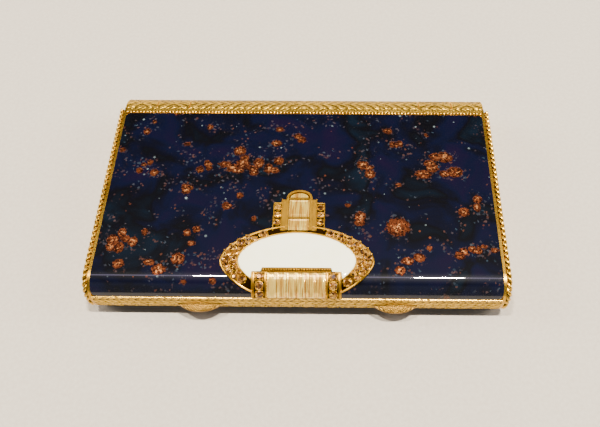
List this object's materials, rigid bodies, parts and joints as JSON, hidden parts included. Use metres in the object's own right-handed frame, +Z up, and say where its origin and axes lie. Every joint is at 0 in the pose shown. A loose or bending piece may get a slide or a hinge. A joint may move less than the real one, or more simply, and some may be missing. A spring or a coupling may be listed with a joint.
{
  "type": "lipstick case",
  "caption": "Flat hinged vanity case with rolled front edges, enamelled lid, stone-set ornament, push catches, mirror, powder pan and sliding lipstick.",
  "frame": {"origin": "under the middle of the closed case, on the surface it stands on", "axes": "+X along the case, +Y from the thumb-pieces to the spine, +Z up"},
  "size_m": [0.096, 0.0597, 0.013],
  "materials": {
    "gold": "polished",
    "engraved_gold": "engraved",
    "pale_gold": "fine hobnail",
    "enamel": "gloss",
    "plaque": "polished",
    "stones": "faceted",
    "mirror": "silvered",
    "powder": "pressed powder",
    "lipstick": "waxy",
    "steel": "drawn"
  },
  "bodies": {
    "base": {"base_enamel_panel": "enamel", "base_front_rim": "engraved_gold", "base_rope_left": "gold", "base_rope_right": "gold", "base_shell": "gold", "catch_housing_left": "gold", "catch_housing_right": "gold", "catch_spring_left": "steel", "catch_spring_right": "steel", "hinge_pin": "steel", "interior_deck": "gold", "powder_cake": "powder", "powder_cover_pin": "steel", "powder_pan": "gold", "puff_well": "gold", "spine_centre": "engraved_gold", "spine_end_left": "engraved_gold", "spine_end_right": "engraved_gold", "tube_rest_left": "gold", "tube_rest_right": "gold"},
    "lid": {"lid_shell": "gold", "enamel_panel": "enamel", "lid_front_rim": "engraved_gold", "lid_rope_left": "gold", "lid_rope_right": "gold", "lid_knuckle_left": "engraved_gold", "lid_knuckle_right": "engraved_gold", "rear_bead_strip": "gold", "mirror_frame": "gold", "mirror_glass": "mirror", "ornament_setting": "gold", "white_plaque": "plaque", "ring_stones": "stones", "column_stones": "stones", "panel_baguettes": "stones", "tower_baguettes": "stones", "lid_strike_left": "gold", "lid_strike_right": "gold"},
    "powder_cover": {"powder_cover": "gold"},
    "catch_left": {"thumb_piece_left": "pale_gold", "catch_latch_left": "gold"},
    "catch_right": {"thumb_piece_right": "pale_gold", "catch_latch_right": "gold"},
    "lipstick_holder": {"lipstick_tube": "gold", "lipstick_end_cap": "gold"},
    "lipstick": {"lipstick_cup": "gold", "lipstick_stick": "lipstick", "lipstick_slide_knob": "gold"}
  },
  "joints": [
    {"name": "lid_hinge", "type": "hinge", "parent": "base", "child": "lid", "pos_m": [0, 0.02435, 0.006], "axis": [-1, 0, 0], "range_deg": [0, 110]},
    {"name": "powder_cover_hinge", "type": "hinge", "parent": "base", "child": "powder_cover", "pos_m": [-0.016, 0.0156, 0.0067], "axis": [-1, 0, 0], "range_deg": [0, 56]},
    {"name": "thumb_left_push", "type": "slide", "parent": "base", "child": "catch_left", "axis": [0, 1, 0], "range_m": [0, 0.0008], "stiffness_N_per_m": 400, "deforming": ["catch_spring_left"]},
    {"name": "thumb_right_push", "type": "slide", "parent": "base", "child": "catch_right", "axis": [0, 1, 0], "range_m": [0, 0.0008], "stiffness_N_per_m": 400, "deforming": ["catch_spring_right"]},
    {"name": "lipstick_lift", "type": "slide", "parent": "base", "child": "lipstick_holder", "axis": [0, 0, 1], "range_m": [0, 0.0101]},
    {"name": "lipstick_slide", "type": "slide", "parent": "lipstick_holder", "child": "lipstick", "axis": [1, 0, 0], "range_m": [0, 0.016]}
  ],
  "couplings": [
    {"joint": "powder_cover_hinge", "follows": "lid_hinge", "ratio": 0.5},
    {"joint": "lipstick_lift", "follows": "lid_hinge", "m_per_rad": 0.005209}
  ]
}
